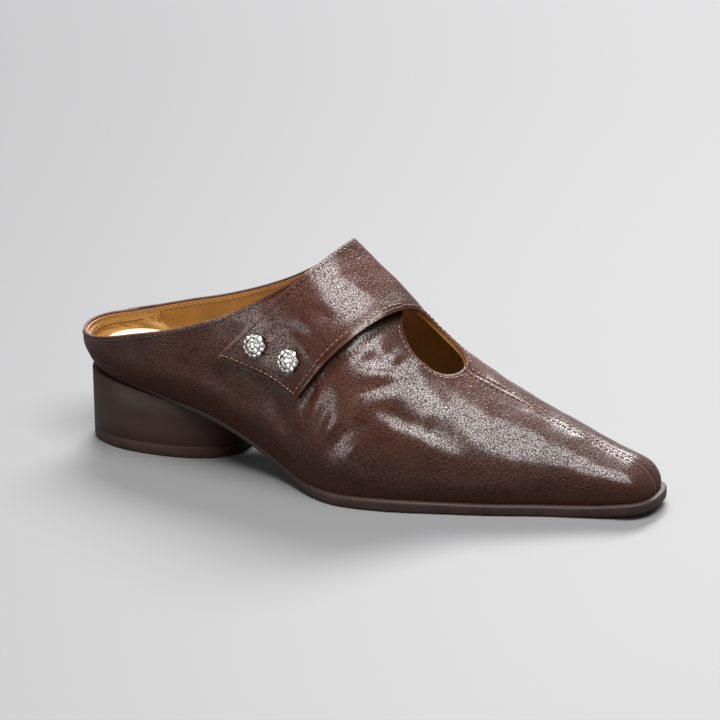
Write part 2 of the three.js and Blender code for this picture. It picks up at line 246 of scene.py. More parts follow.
# the collar reaches the top line at the strap's peak
shoe["peakAt"] = crossing(110.0, 127.0, lambda x: collarHeight(x) < sectionAt(x)["ridge"])
keyhole = {
    "back": 153.5, "widest": 167.4, "front": 180.3, "middle": -1.5,
    "outer": -15.0, "inner": 11.8, "outerPower": 2.0, "innerPower": 1.55, "frontPower": 2.15,
    "blend": 3,               # over this length the inner edge joins the top line
    "swingFrom": 140,         # from here the outer edge swings to the keyhole's middle
}
seam = {"at": (180.3, 195, 208, 236, 262), "y": (-0.8, 1.6, 3.0, 3.0, 2.2)}
seamY = curveThrough(seam["at"], seam["y"])
strapCut = {
    "rearLow": (80.7, 52.8),
    "frontAt": (121.5, 126, 131.2, 137.5, 144, 149, 153.5, 156.5),
    "frontHeight": (41.2, 48.5, 56.2, 64.5, 71, 74.2, 74.9, 73.5),
    "lift": 1.5,              # how far the strap lies above the last
    "thick": 1.4,
    "rise": 1.9, "riseReach": 9,      # its front edge stands up near the top line
    "stand": 0.9, "standReach": 5,    # and a little on the outer side
    "dip": 1.1,               # how far the leather under it gives way
}


def keyholeY(x, side):
    hole = keyhole
    if x < hole["widest"]:
        t = (hole["widest"] - x) / (hole["widest"] - hole["back"])
        power = hole["outerPower"] if side < 0 else hole["innerPower"]
    else:
        t = (x - hole["widest"]) / (hole["front"] - hole["widest"])
        power = hole["frontPower"]
    reach = (hole["outer"] if side < 0 else hole["inner"]) - hole["middle"]
    return hole["middle"] + reach * max(0.0, 1 - min(1.0, t) ** power) ** (1 / power)


def topGirth(x, side):
    # how far up the leather of one side goes
    back = keyhole["back"]
    if x < shoe["peakAt"]:
        return girthAtHeight(x, collarHeight(x), side)
    if x > keyhole["front"]:
        return girthAtY(x, seamY(x))
    if x > back:
        if side < 0 or x > back + keyhole["blend"]:
            return girthAtY(x, keyholeY(x, side))
        return mix(0.0, girthAtY(x, keyholeY(x, side)), (x - back) / keyhole["blend"])
    if side > 0:
        return 0.0
    swing = smooth(x, keyhole["swingFrom"], back)
    return girthAtY(x, mix(sectionAt(x)["lean"], keyhole["middle"], swing))


def spacedAlong(side, start, end, spacing):
    # stations so close that neither the edge of the sole nor the top edge steps further than the
    # spacing, looked for most finely at the two rounded ends
    fine = 3000
    found, marks = [], None
    for i in range(fine + 1):
        x = shoe["length"] * (1 - math.cos(math.pi * (i / fine))) / 2
        if x < start or x > end:
            continue
        now = (onLast(x, side), onLast(x, side * 2), onLast(x, topGirth(x, side)))
        if marks is None or max((a - b).length for a, b in zip(now, marks)) >= spacing:
            found.append(x)
            marks = now
    found[-1] = end
    return found


def roundHeel(outerXs, innerXs):
    # columns from the outer side round the heel to the inner side, as (x, side)
    return [(x, -1) for x in reversed(outerXs)] + [(x, 1) for x in innerXs[1:]]


# Soft troughs and ridges listed for the outer side: points as (x, height), then depth and width.
creases = (
    (((165, 58), (159, 56), (152, 57.5), (145, 60)), 1.2, 2.3),
    (((166.5, 51.5), (158, 50.2), (151, 48.6), (143, 45.5)), 1.1, 2.6),
    (((158, 62), (153, 60.5), (148, 61.5)), 0.7, 1.8),
    (((129, 47), (126, 42), (123, 36)), 1.1, 2.3),
    (((154, 37), (148, 32), (142.5, 26.5), (138.5, 20.5)), 1.2, 2.6),
    (((147, 38), (141, 30), (136, 23)), 0.9, 2.1),
    (((137, 42), (133, 34), (130, 27)), 0.7, 2.4),
    (((170, 44), (180, 36), (192, 30)), 0.7, 3.6),
    (((150, 44), (162, 40), (176, 34), (190, 27)), 0.8, 3.2),
    (((104, 40), (110, 33), (117, 24)), 0.8, 3.6),
    (((70, 52), (78, 44), (88, 36)), 0.5, 4.2),
    (((119.5, 38), (126, 45.5), (132.5, 54), (139.5, 62), (146, 68.5), (152, 72)), 1.1, 2.3),
)
strapCreases = (
    (((103.5, 63), (108.5, 68.5), (113, 75)), 0.9, 1.6),
    (((128, 62), (121, 67), (114, 69.5)), 0.8, 2.4),
    (((141, 78), (133, 82), (126, 83)), 0.7, 2.6),
    (((133, 88), (127, 86), (121, 85)), 0.6, 2.0),
    (((133, 72), (127, 75), (120, 76)), 0.6, 2.2),
)
creaseShape = {"ridgeAt": 2.1, "ridgeShare": 0.4, "farthest": 60}     # the ridge beside each trough
mottle = {"size": 18.0, "depth": 0.6, "fineSize": 6.5, "fineDepth": 0.24}


def creaseLines(table, lift):
    made = []
    for points, depth, width in table:
        line = []
        for x, height in points:
            girth = girthAtHeight(x, height, -1)
            line.append(onLast(x, girth) + normalOnLast(x, girth) * lift)
        made.append((line, depth, width))
    return made


def creaseAt(point, lines):
    total = 0.0
    for line, depth, width in lines:
        if (point - line[0]).length > creaseShape["farthest"]:
            continue
        nearest, share = 1e9, 0.0
        for i in range(len(line) - 1):
            _, t = intersect_point_line(point, line[i], line[i + 1])
            t = min(1.0, max(0.0, t))
            away = (point - line[i].lerp(line[i + 1], t)).length
            if away < nearest:
                nearest, share = away, (i + t) / (len(line) - 1)
        fade = math.sin(math.pi * min(0.98, max(0.02, share))) ** 0.6
        trough = math.exp(-(nearest / width) ** 2)
        ridge = math.exp(-((nearest - creaseShape["ridgeAt"] * width) / width) ** 2)
        total += depth * fade * (creaseShape["ridgeShare"] * ridge - trough)
    return total


def mottleAt(point):
    slow = noise.noise(point / mottle["size"]) * mottle["depth"]
    return slow + noise.noise(point / mottle["fineSize"]) * mottle["fineDepth"]


def softAt(point, lines):
    seatFade = smooth(point.z - sectionAt(point.x)["seat"], 1.0, 9.0)
    return seatFade * (mottleAt(point) + creaseAt(point, lines))


toMiddle = 99                 # an inset that means all the way to the middle


def sheetOf(columns, rows, spotAt):
    # a grid of quads with each vertex where spotAt(column, row) puts it
    bm = bmesh.new()
    bmesh.ops.create_grid(bm, x_segments=columns, y_segments=rows, size=0.5)
    for v in bm.verts:
        v.co = spotAt(round((v.co.x + 0.5) * columns), round((v.co.y + 0.5) * rows))
    return bm


def joinSheet(bm, dist):
    bmesh.ops.remove_doubles(bm, verts=bm.verts, dist=dist)
    bmesh.ops.recalc_face_normals(bm, faces=bm.faces)


def pushVertices(bm, pushOf):
    # every vertex moves by normals taken before any has moved
    bm.normal_update()
    moved = [v.co + pushOf(v) for v in bm.verts]
    for v, co in zip(bm.verts, moved):
        v.co = co


def makePiece(bm, name, rounded=True):
    mesh = bpy.data.meshes.new(name)
    bm.to_mesh(mesh)
    bm.free()
    for polygon in mesh.polygons:
        polygon.use_smooth = rounded
    piece = bpy.data.objects.new(name, mesh)
    bpy.context.scene.collection.objects.link(piece)
    return piece


def carried(bm, name):
    # the piece, carried from the last's millimetres into the frame
    bmesh.ops.transform(bm, matrix=toFrame, verts=bm.verts)
    return makePiece(bm, name)


def closedPiece(bm, name):
    joinSheet(bm, 0.02)
    return carried(bm, name)


def sheetPiece(bm, name, thick, edge=0.35):
    # a sheet thickened inwards, its cut edges rounded
    bmesh.ops.remove_doubles(bm, verts=bm.verts, dist=0.01)
    piece = carried(bm, name)
    wall = piece.modifiers.new("Thickness", "SOLIDIFY")
    wall.thickness = thick * mm
    wall.offset = -1.0
    bevel = piece.modifiers.new("Rounded edge", "BEVEL")
    bevel.width = edge * mm
    bevel.segments = 3
    bevel.limit_method = "ANGLE"
    bevel.angle_limit = math.radians(50)
    return piece


def place(piece, slotName, material, *nodes):
    piece.data.materials.clear()
    piece.data.materials.append(material)
    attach(piece, "root")
    if nodes:
        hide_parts(*nodes)
    return piece


def treeOf(points):
    tree = KDTree(len(points))
    for i, point in enumerate(points):
        tree.insert(point, i)
    tree.balance()
    return tree


def resample(points, step):
    # the same line with its points a step apart
    out = [points[0].copy()]
    left = 0.0
    for a, b in zip(points, points[1:]):
        span = (b - a).length
        at = step - left
        while at <= span:
            out.append(a.lerp(b, at / span))
            at += step
        left = (left + span) % step if span else left
    return out


# Shader groups
def newGroup(name, inputs, outputs):
    tree = bpy.data.node_groups.new(name, "ShaderNodeTree")
    for label, value in inputs:
        kind = "NodeSocketVector" if value is None else "NodeSocketFloat"
        made = tree.interface.new_socket(name=label, in_out="INPUT", socket_type=kind)
        if value is not None:
            made.default_value = value
    for label in outputs:
        tree.interface.new_socket(name=label, in_out="OUTPUT", socket_type="NodeSocketFloat")
    return tree, tree.nodes.new("NodeGroupInput").outputs, tree.nodes.new("NodeGroupOutput")


def feed(socket, value):
    # numbers and colours are set on the socket, outputs are linked to it
    if isinstance(value, (int, float)):
        socket.default_value = value
    elif isinstance(value, tuple):
        socket.default_value = (*value, 1.0)
    else:
        socket.id_data.links.new(value, socket)


def feedAll(node, **values):
    for label, value in values.items():
        feed(node.inputs[label.replace("_", " ")], value)


def mathNode(tree, operation, *values):
    node = tree.nodes.new("ShaderNodeMath")
    node.operation = operation
    for socket, value in zip(node.inputs, values):
        feed(socket, value)
    return node.outputs[0]


def rangeNode(tree, value, fromMin, fromMax, toMin=0.0, toMax=1.0, kind="SMOOTHSTEP"):
    node = tree.nodes.new("ShaderNodeMapRange")
    node.interpolation_type = kind
    feedAll(node, Value=value, From_Min=fromMin, From_Max=fromMax, To_Min=toMin, To_Max=toMax)
    return node.outputs["Result"]


def mixColour(tree, share, a, b):
    node = tree.nodes.new("ShaderNodeMix")
    node.data_type = "RGBA"
    for i, value in ((0, share), (6, a), (7, b)):
        feed(node.inputs[i], value)
    return node.outputs[2]


def noiseNode(tree, vector, scale, detail=2.0, roughness=0.5, distortion=0.0, wanted="Fac"):
    node = tree.nodes.new("ShaderNodeTexNoise")
    feedAll(node, Vector=vector, Scale=scale, Detail=detail, Roughness=roughness, Distortion=distortion)
    return node.outputs[wanted]


def cellNode(tree, kind, vector, scale):
    node = tree.nodes.new("ShaderNodeTexVoronoi")
    node.feature = kind
    feedAll(node, Vector=vector, Scale=scale)
    return node


def makeGrainGroup():
    # pebbled leather grain: rounded cells of uneven size, with finer pores on top
    tree, given, out = newGroup(
        "leatherGrain",
        (("Vector", None), ("Cells per metre", 900.0), ("Fine share", 0.3)),
        ("Height", "Valley"),
    )
    perMetre = given["Cells per metre"]
    warp = noiseNode(tree, given["Vector"], 260.0, 2.0, wanted="Color")
    bend = tree.nodes.new("ShaderNodeVectorMath")
    bend.operation = "MULTIPLY_ADD"
    bend.inputs[1].default_value = (0.0014, 0.0014, 0.0014)
    tree.links.new(warp, bend.inputs[0])
    tree.links.new(given["Vector"], bend.inputs[2])
    cell = cellNode(tree, "SMOOTH_F1", bend.outputs[0], perMetre)
    cell.inputs["Smoothness"].default_value = 0.22
    pebble = rangeNode(tree, cell.outputs["Distance"], 0.15, 0.8, 1.0, 0.0)
    border = cellNode(tree, "DISTANCE_TO_EDGE", bend.outputs[0], perMetre)
    fine = noiseNode(tree, given["Vector"], mathNode(tree, "MULTIPLY", perMetre, 2.3), 3.0, 0.6)
    fine = mathNode(tree, "SUBTRACT", fine, 0.5)
    height = mathNode(tree, "MULTIPLY_ADD", fine, given["Fine share"], pebble)
    valley = rangeNode(tree, border.outputs["Distance"], 0.0, 0.25, 1.0, 0.0)
    feedAll(out, Height=height, Valley=valley)
    return tree


def makeStitchGrooveGroup():
    # a shallow groove at a set distance from a piece's edge, and the rim beyond it, which is the mask of the
    # leather's painted edge highlight
    tree, given, out = newGroup(
        "stitchGroove",
        (("To edge", 10.0), ("Inset", 1.8), ("Width", 0.45)),
        ("Groove", "Rim", "Fall"),
    )
    away = mathNode(tree, "ABSOLUTE", mathNode(tree, "SUBTRACT", given["To edge"], given["Inset"]))
    feedAll(
        out,
        Groove=rangeNode(tree, away, 0.0, given["Width"], 1.0, 0.0),
        Rim=rangeNode(tree, given["To edge"], 0.0, 0.7, 1.0, 0.0),
        Fall=rangeNode(tree, given["To edge"], 0.0, 1.1, 1.0, 0.0))
    return tree


grainGroup = makeGrainGroup()
grooveGroup = makeStitchGrooveGroup()


def newMaterial(name):
    made = bpy.data.materials.new(name)
    made.use_nodes = True
    tree = made.node_tree
    shader = tree.nodes["Principled BSDF"]
    coordinates = tree.nodes.new("ShaderNodeTexCoord").outputs["Object"]
    return made, tree, shader, coordinates


def useGroup(tree, group, **values):
    node = tree.nodes.new("ShaderNodeGroup")
    node.node_tree = group
    feedAll(node, **values)
    return node.outputs


def attribute(tree, name):
    node = tree.nodes.new("ShaderNodeAttribute")
    node.attribute_name = name
    return node.outputs["Fac"]


def bumpFrom(tree, shader, height, distance, before=None):
    node = tree.nodes.new("ShaderNodeBump")
    feedAll(node, Height=height, Distance=distance, Strength=1.0)
    if before is not None:
        tree.links.new(before, node.inputs["Normal"])
    tree.links.new(node.outputs["Normal"], shader.inputs["Normal"])
    return node.outputs["Normal"]


leatherLook = {
    # deep is also the tone of the painted shade in the grain valleys and stitch grooves
    "deep": (0.0106, 0.0024, 0.0011), "mid": (0.0280, 0.0067, 0.0026), "warm": (0.0415, 0.0106, 0.0041),
    "floorReflection": (0.0265, 0.0104, 0.0070),     # painted reflection of the floor: a greyer tone on the smoother strip above the sole
    "edge": (0.112, 0.046, 0.025),        # a painted highlight along the folded cut edges
    "cells": 960.0, "grainDepth": 0.00018, "crumples": 150.0, "crumpleDepth": 0.0009,
    "grooveInset": 1.8, "grooveWidth": 0.5, "grooveDepth": 0.00060,
    "rough": (0.36, 0.46), "lowRough": 0.14, "valleyRough": 0.3,
    "specular": 0.12, "gloss": (0.5, 1.0), "lowGloss": 0.05, "valleyGloss": 0.12, "glossRough": 0.235,
    "patchShare": 0.55, "floorReflectionShare": 0.85, "valleyShadeShare": 0.42, "grooveShadeShare": 0.55, "rimHighlightShare": 0.6,
    "lowDepth": 0.22,                     # how much of the relief is left beside the sole
}


def makeLeather():
    made, tree, shader, coordinates = newMaterial("brownLeather")
    look = leatherLook
    low = attribute(tree, "low")
    grain = useGroup(tree, grainGroup, Vector=coordinates, Cells_per_metre=look["cells"], Fine_share=0.2)
    groove = useGroup(tree, grooveGroup, To_edge=attribute(tree, "toEdge"), Inset=look["grooveInset"],
                      Width=look["grooveWidth"])
    valley = grain["Valley"]
    cloud = noiseNode(tree, coordinates, 42.0, 4.0, 0.6, 0.4)
    patch = noiseNode(tree, coordinates, 16.0, 2.0, 0.5, 0.3)
    colour = mixColour(tree, rangeNode(tree, cloud, 0.32, 0.68), look["mid"], look["warm"])
    patches = rangeNode(tree, patch, 0.42, 0.62, 0.0, look["patchShare"])
    colour = mixColour(tree, patches, colour, look["deep"])
    # painted reflection of the floor: the strip beside the sole is turned greyer
    # painted shade: the grain valleys and the stitch grooves are darkened towards deep
    for mask, share, tone in ((low, "floorReflectionShare", "floorReflection"), (valley, "valleyShadeShare", "deep"),
                              # painted highlight: the rim by each cut edge is lightened towards the edge tone
                              (groove["Groove"], "grooveShadeShare", "deep"), (groove["Rim"], "rimHighlightShare", "edge")):
        colour = mixColour(tree, mathNode(tree, "MULTIPLY", mask, look[share]), colour, look[tone])
    rough = rangeNode(tree, patch, 0.3, 0.7, *look["rough"], "LINEAR")
    rough = mathNode(tree, "MULTIPLY_ADD", low, look["lowRough"], rough)
    rough = mathNode(tree, "MULTIPLY_ADD", valley, look["valleyRough"], rough)
    gloss = rangeNode(tree, cloud, 0.35, 0.65, *look["gloss"], "LINEAR")
    for mask, left, kind in ((low, "lowGloss", "LINEAR"), (valley, "valleyGloss", "SMOOTHSTEP")):
        gloss = mathNode(tree, "MULTIPLY", gloss, rangeNode(tree, mask, 0.0, 1.0, 1.0, look[left], kind))
    feedAll(shader, Base_Color=colour, Roughness=rough, IOR=1.42, Specular_IOR_Level=look["specular"],
            Coat_Weight=gloss, Coat_Roughness=look["glossRough"])
    depth = rangeNode(tree, low, 0.0, 1.0, 1.0, look["lowDepth"], "LINEAR")
    crumple = noiseNode(tree, coordinates, look["crumples"], 3.0, 0.55, 0.6)
    before = None
    for relief, deep in ((crumple, "crumpleDepth"), (grain["Height"], "grainDepth")):
        before = bumpFrom(tree, shader, mathNode(tree, "MULTIPLY", relief, depth), look[deep], before)
    sunk = mathNode(tree, "MULTIPLY", mathNode(tree, "ADD", groove["Groove"], groove["Fall"]), -1.0)
    bumpFrom(tree, shader, sunk, look["grooveDepth"], before)
    return made


def cloudedMaterial(name, clouds, span, dark, light):
    # its colour drifts between two tones
    made, tree, shader, coordinates = newMaterial(name)
    cloud = noiseNode(tree, coordinates, *clouds)
    feedAll(shader, Base_Color=mixColour(tree, rangeNode(tree, cloud, *span), dark, light))
    return made, tree, shader, coordinates, cloud


def makeSoftLeather(name, look, light, dark):
    # lining and sock
    made, tree, shader, coordinates, _ = cloudedMaterial(name, look["clouds"], (0.3, 0.7), dark, light)
    grain = useGroup(tree, grainGroup, Vector=coordinates, Cells_per_metre=look["cells"],
                     Fine_share=look["fine"])
    # painted shade: the grain valleys darkened towards the valley tone
    valley = mathNode(tree, "MULTIPLY", grain["Valley"], look["valleyShadeShare"])
    colour = shader.inputs["Base Color"].links[0].from_socket
    feedAll(shader, Base_Color=mixColour(tree, valley, colour, look["valley"]))
    feedAll(shader, Roughness=look["rough"], Specular_IOR_Level=look["specular"])
    bumpFrom(tree, shader, grain["Height"], look["depth"])
    return made


def makeMoulded(name, look):
    # the matt finishes of sole and heel
    made, tree, shader, coordinates, cloud = cloudedMaterial(
        name, look["clouds"], (0.3, 0.7), look["dark"], look["light"])
    rough = rangeNode(tree, cloud, 0.3, 0.7, *look["rough"], "LINEAR")
    feedAll(shader, Roughness=rough, Specular_IOR_Level=0.2)
    bumpFrom(tree, shader, noiseNode(tree, coordinates, *look["fine"]), 0.00003)
    return made


def makeThread(name, light, dark):
    made, tree, shader, _, twist = cloudedMaterial(name, (1500.0, 2.0), (0.35, 0.65), dark, light)
    feedAll(shader, Roughness=0.5)
    bumpFrom(tree, shader, twist, 0.0001)
    return made


def makeStudMetal():
    made, tree, shader, _, cloud = cloudedMaterial(
        "studMetal", (900.0, 3.0), (0.35, 0.65), (0.24, 0.23, 0.21), (0.60, 0.58, 0.54))
    rough = rangeNode(tree, cloud, 0.3, 0.7, 0.22, 0.4, "LINEAR")
    feedAll(shader, Roughness=rough, Metallic=1.0)
    return made


def makeCutStone():
    made, _, shader, _, _ = cloudedMaterial(
        "cutStone", (1400.0, 2.0, 0.7), (0.42, 0.58), (0.20, 0.195, 0.18), (0.60, 0.59, 0.57))
    feedAll(shader, Metallic=0.45, Roughness=0.14, Coat_Weight=0.6, Coat_Roughness=0.03)
    return made


liningLook = {
    # valley is the tone of the painted shade in the grain valleys
    "clouds": (60.0, 3.0), "cells": 1500.0, "fine": 0.5, "valleyShadeShare": 0.2, "valley": (0.2, 0.08, 0.012),
    "rough": 0.55, "specular": 0.25, "depth": 0.00006,
}
sockLook = {
    "clouds": (70.0, 3.0), "cells": 1700.0, "fine": 0.4, "valleyShadeShare": 0.0, "valley": (0.2, 0.08, 0.012),
    "rough": 0.5, "specular": 0.3, "depth": 0.00005,
}
soleLook = {
    "dark": (0.0145, 0.0074, 0.0055), "light": (0.0215, 0.0111, 0.0083),
    "clouds": (90.0, 4.0, 0.6), "fine": (2600.0, 2.0), "rough": (0.50, 0.62),
}
heelLook = {
    "dark": (0.0165, 0.0069, 0.0051), "light": (0.0228, 0.0096, 0.0073),
    "clouds": (50.0, 3.0, 0.5), "fine": (1900.0, 3.0), "rough": (0.50, 0.60),
}
leather = makeLeather()
studMetal = makeStudMetal()
cutStone = makeCutStone()
lining = makeSoftLeather("tanLining", liningLook, (0.190, 0.079, 0.0092), (0.143, 0.056, 0.0052))
# the tan lining again, painted lighter for the heel grip: painted light where the inner wall at the heel is
# lit
litGripLining = makeSoftLeather("litHeelGripLining", liningLook, (0.222, 0.106, 0.0190), (0.171, 0.075, 0.0105))
soleRubber = makeMoulded("brownSole", soleLook)
heelFinish = makeMoulded("brownHeel", heelLook)
sockLeather = makeSoftLeather("creamSock", sockLook, (0.372, 0.302, 0.222), (0.325, 0.258, 0.178))
brownThread = makeThread("brownThread", (0.166, 0.082, 0.058), (0.067, 0.027, 0.018))
darkThread = makeThread("darkThread", (0.050, 0.020, 0.013), (0.020, 0.008, 0.005))
liningThread = makeThread("liningThread", (0.20, 0.092, 0.026), (0.092, 0.038, 0.011))
print("materials made")


# Outer quarter: round the heel from the toe on the outer side to a seam just behind the inner quarter.
quarter = {
    "spacing": 1.7, "rows": 66, "margin": (6.0, 3.0, 0.8), "marginHeight": 0.1,
    "backSeam": 12.0, "overlap": 3.5,
    "edgeReach": 12.0,        # cut edges further away don't matter
    "lowAtHeel": 17.0, "lowInFront": 9.0,    # how high the smoother strip above the sole, with its painted floor reflection, reaches
}


def middleFor(x):
    # the point of the sole's middle line that a place on the edge faces
    x = min(max(x, 26.0), 248.0)
    return Vector((x, sectionAt(x)["soleMiddle"], 0))


def inwardFrom(point):
    return (middleFor(point.x) - Vector((point.x, point.y, 0))).normalized()


def wallSpot(x, side, row):
    # the first rows are folded in under the insole, the others go up to the top edge
    margins = quarter["margin"]
    if row < len(margins):
        outline = onLast(x, side * 2)
        return outline + inwardFrom(outline) * margins[row] + Vector((0, 0, quarter["marginHeight"]))
    return onLast(x, mix(side * 2, topGirth(x, side), (row - len(margins)) / quarter["rows"]))


def wallSheet(path):
    rows = quarter["rows"] + len(quarter["margin"])
    return sheetOf(len(path) - 1, rows, lambda i, j: wallSpot(*path[i], j))


def edgeLayer(bm, edge):
    # distance in millimetres from every vertex to a cut edge
    layer = bm.verts.layers.float.new("toEdge")
    tree = treeOf(edge)
    for v in bm.verts:
        v[layer] = min(quarter["edgeReach"], tree.find(v.co)[2])


def lowLayer(bm):
    # 1 beside the sole, 0 well above it
    layer = bm.verts.layers.float.new("low")
    for v in bm.verts:
        above = v.co.z - sectionAt(v.co.x)["seat"]
        fade = mix(quarter["lowAtHeel"], quarter["lowInFront"], smooth(v.co.x, 60, 200))
        v[layer] = 1 - smooth(above, 0.35 * fade, fade * 1.25)


def topEdge(xs, side):
    return [onLast(x, topGirth(x, side)) for x in xs]


outerLines = creaseLines(creases, 0.0)
strapLines = creaseLines(strapCreases, 2.5)


def shapeSkin(bm, offsetAt, lines):
    # along each normal: a set offset, the creases and the slow unevenness of the hide
    pushVertices(bm, lambda v: v.normal * (offsetAt(v.co) + softAt(v.co, lines)))


def strapDip(x, y):
    # how far the leather gives way under the strap
    return strapCut["dip"] * smooth(x, 120, 146) * (1 - smooth(x, 156, 168)) * smooth(y, -30, -12)


def makeOuterQuarter():
    outerXs = spacedAlong(-1, 0.0, shoe["length"], quarter["spacing"])
    innerXs = spacedAlong(1, 0.0, quarter["backSeam"], quarter["spacing"])
    bm = wallSheet(roundHeel(outerXs, innerXs))
    joinSheet(bm, 0.01)
    end = quarter["backSeam"]
    edge = resample(topEdge(outerXs, -1), 0.3) + resample(topEdge(innerXs, 1), 0.3)
    edge += [onLast(end, mix(topGirth(end, 1), 2, t / 60)) for t in range(61)]
    edgeLayer(bm, edge)
    lowLayer(bm)
    shapeSkin(bm, lambda co: -strapDip(co.x, co.y), outerLines)
    return sheetPiece(bm, "outer_quarter", shoe["leather"])


# Inner quarter and strap: one sheet, from the seam behind the heel to the toe and over the top line
inner = {
    "strapRows": 52,
    "joinGap": 0.6,           # stations this near the strap's corners are left out
    "overSeam": 1.3,          # how far it stands over the outer quarter at the back seam
}


def strapHeight(x, girth):
    return onLast(x, girth).z + strapCut["lift"] * normalOnLast(x, girth).z


def rearX(girth):
    # where the strap's straight rear edge, seen from the side, crosses a line along the shoe
    (x0, z0), x1 = strapCut["rearLow"], shoe["peakAt"]
    z1 = strapHeight(x1, 0.0)
    return crossing(x0 - 4, x1 + 1, lambda x: strapHeight(x, girth) > mix(z0, z1, (x - x0) / (x1 - x0)))


def makeStrapColumns():
    # a place on the strap, from its share of the way to the front edge and how far down it lies
    lift = strapCut["lift"] + strapCut["thick"]
    xs, girths = [strapCut["frontAt"][-1]], [0.0]
    for x, height in reversed(list(zip(strapCut["frontAt"], strapCut["frontHeight"]))[:-1]):
        rise = lift * normalOnLast(x, girthAtHeight(x, height, -1)).z
        xs.append(x)
        girths.append(-girthAtHeight(x, height - rise, -1))
    frontX = curveThrough(girths, xs)
    x0, z0 = strapCut["rearLow"]
    rearEnd, frontEnd = girthAtHeight(x0, z0 - 0.3, -1), -girths[-1]

    def at(share, down):
        rear, front = rearEnd * down, frontEnd * down
        return mix(rearX(rear), frontX(-front), share), mix(rear, front, share)
    return at


def overlapLift(x, y):
    # how far the inner quarter rises over the outer one near the top line
    lean = sectionAt(x)["lean"]
    outward = 1 - smooth(y, lean - 1, lean + 13)
    onStrap = smooth(-y, -lean, 12)
    forward = (1 - smooth(x, 153, 170)) * smooth(x, 20, 45)
    return outward * forward * (strapCut["lift"] + strapCut["thick"] * 0.4 + 0.5 * onStrap)


def makeInnerQuarter():
    peak, front = shoe["peakAt"], strapCut["frontAt"][-1]
    xs = spacedAlong(1, quarter["backSeam"] - quarter["overlap"], shoe["length"], quarter["spacing"])
    xs = [x for x in xs if min(abs(x - peak), abs(x - front)) > inner["joinGap"]]
    xs = sorted(xs + [peak, front])
    bm = wallSheet([(x, 1) for x in xs])
    strapXs = [x for x in xs if peak <= x <= front]
    strapAt = makeStrapColumns()
    last, rows = len(strapXs) - 1, inner["strapRows"]
    spots = {}

    def strapSpot(i, j):
        x = strapXs[i]
        spots[i, j] = onLast(*strapAt((x - peak) / (front - peak), j / rows)) if j else onLast(x, 0.0)
        return spots[i, j]

    strap = sheetOf(last, rows, strapSpot)
    strapMesh = bpy.data.meshes.new("strapPart")
    strap.to_mesh(strapMesh)
    strap.free()
    bm.from_mesh(strapMesh)
    bpy.data.meshes.remove(strapMesh)
    joinSheet(bm, 0.05)
    edges = {
        "rear": [spots[0, j] for j in range(rows + 1)],
        "low": [spots[i, rows] for i in range(last + 1)],
        "front": [spots[last, j] for j in range(rows + 1)],
        "collar": topEdge([x for x in xs if x <= peak], 1),
        "seam": topEdge([x for x in xs if x >= front], 1),
    }
    edgeLayer(bm, [p for line in edges.values() for p in resample(line, 0.3)])
    lowLayer(bm)
    frontTree = treeOf(resample(edges["front"], 0.5))
    seamAt = quarter["backSeam"]

    def offsetAt(co):
        x, y, _ = co
        near = frontTree.find(co)[2]
        risen = strapCut["rise"] * math.exp(-(near / strapCut["riseReach"]) ** 2)
        risen *= smooth(x, 124, 144) * (1 - smooth(x, 150, 158)) * smooth(-y, -8, 4)
        stand = strapCut["stand"] * math.exp(-(near / strapCut["standReach"]) ** 2) * smooth(-y, 2, 16)
        overSeam = inner["overSeam"] * (1 - smooth(x, seamAt + 1, seamAt + 10))
        return overlapLift(x, y) + risen + stand + overSeam

    shapeSkin(bm, offsetAt, strapLines)
    return sheetPiece(bm, "inner_quarter_strap", strapCut["thick"]), edges


outerQuarter = place(makeOuterQuarter(), "leather", leather, "upper")
print("outer quarter laid")
innerPiece, innerEdges = makeInnerQuarter()
innerQuarter = place(innerPiece, "leather", leather, "strap")
print("inner quarter and strap laid")


# Outsole, with its ledge round the forefoot
sole = {
    "tread": 138.0, "treadEnd": 232.0, "toeSpring": 3.0, "ledge": 2.5,
    "thick": 4.8, "waist": 2.8, "heelSeat": 1.2,
    "rim": 2.0,               # insets up to this follow the edge's own direction
}


def soleBottom(x):
    if x >= sole["tread"]:
        reach = shoe["length"] + sole["ledge"] - sole["treadEnd"]
        return sole["toeSpring"] * max(0.0, (x - sole["treadEnd"]) / reach) ** 1.6
    thin = mix(sole["heelSeat"], sole["waist"], smooth(x, 30, 80))
    return max(0.0, lastCurve["seat"](x) - mix(thin, sole["thick"], smooth(x, 108, sole["tread"])))


def soleOutward(x):
    return -1.2 + 1.2 * smooth(x, 20, 60) + sole["ledge"] * smooth(x, 105, 150)


def soleOutline(spacing):
    # the sole's plan, once round, with the outward direction at each point
    xs = spacedAlong(-1, 0.0, shoe["length"], spacing)
    loop = [onLast(x, -2) for x in xs] + [onLast(x, 2) for x in reversed(xs[1:-1])]
    made = []
    for i, point in enumerate(loop):
        along = loop[(i + 1) % len(loop)] - loop[i - 1]
        made.append((point, Vector((along.y, -along.x, 0)).normalized()))
    return made


def makeOutsole():
    outline = soleOutline(2.0)
    # inset from the edge and share of the thickness, from under the middle round the edge to the top
    profile = ((toMiddle, 0.0), (14, 0.0), (1.2, 0.0), (0.5, 0.03), (0.12, 0.12), (0.0, 0.26), (0.0, 0.72),
               (0.1, 0.86), (0.45, 0.97), (0.9, 1.0), (5.0, 1.0), (14, 1.0), (toMiddle, 1.0))

    def spotAt(i, j):
        point, outward = outline[i % len(outline)]
        inset, share = profile[j]
        reach = soleOutward(point.x)
        if inset == toMiddle:
            spot = middleFor(point.x)
        elif inset > sole["rim"]:
            spot = point + inwardFrom(point) * (inset - reach)
        else:
            spot = point + outward * (reach - inset)
        x = min(max(spot.x, 0.0), shoe["length"] + sole["ledge"])
        return Vector((spot.x, spot.y, mix(soleBottom(x), lastCurve["seat"](x), share)))

    return closedPiece(sheetOf(len(outline), len(profile) - 1, spotAt), "outsole_edge")


